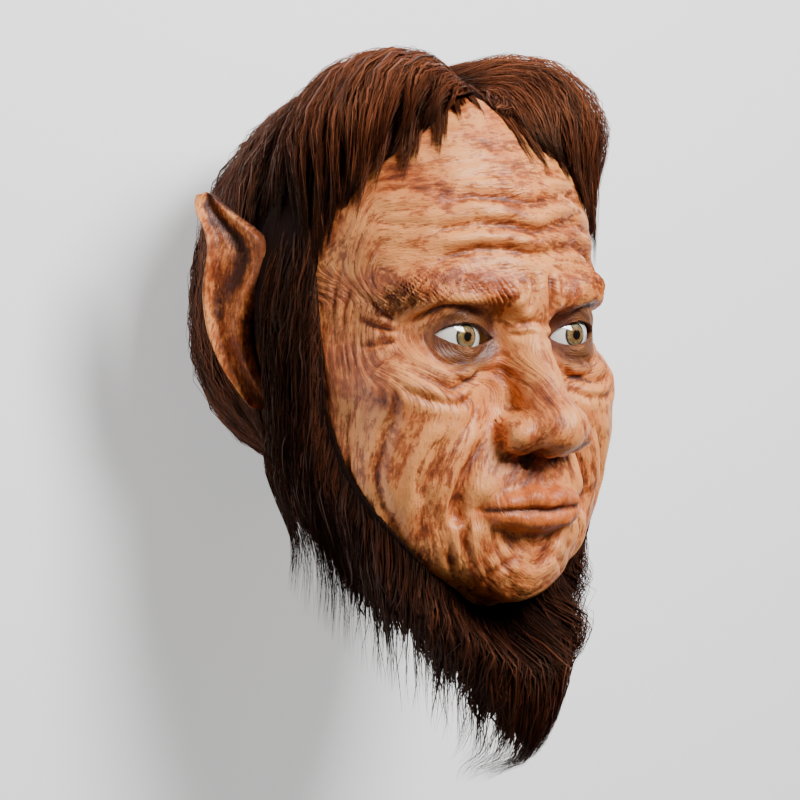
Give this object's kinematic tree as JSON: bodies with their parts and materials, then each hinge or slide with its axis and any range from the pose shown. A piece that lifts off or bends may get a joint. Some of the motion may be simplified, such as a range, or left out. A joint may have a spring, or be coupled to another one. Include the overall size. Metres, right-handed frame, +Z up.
{
  "type": "latex leprechaun mask",
  "caption": "Full-head latex leprechaun mask with pointed ears, a parted wig, a chin-strap beard and set-in display eyes, lying on the back of its head.",
  "frame": {"origin": "on the floor, under the middle of the mask's length and width", "axes": "+Z up and out of the face, +Y towards the crown, +X to the right of someone looking at the face with the crown up; the mask lies on the back of its hair"},
  "size_m": [0.2164, 0.3378, 0.2404],
  "materials": {
    "latex": "satin painted latex with a brown wash in its creases",
    "wig_hair": "satin reddish-brown faux hair",
    "beard_hair": "coarse dark brown crepe hair",
    "acrylic": "gloss, with a painted iris"
  },
  "bodies": {
    "root": {"latex_mask": "latex", "wig": "wig_hair", "beard": "beard_hair", "eye_left": "acrylic", "eye_right": "acrylic"}
  },
  "joints": []
}
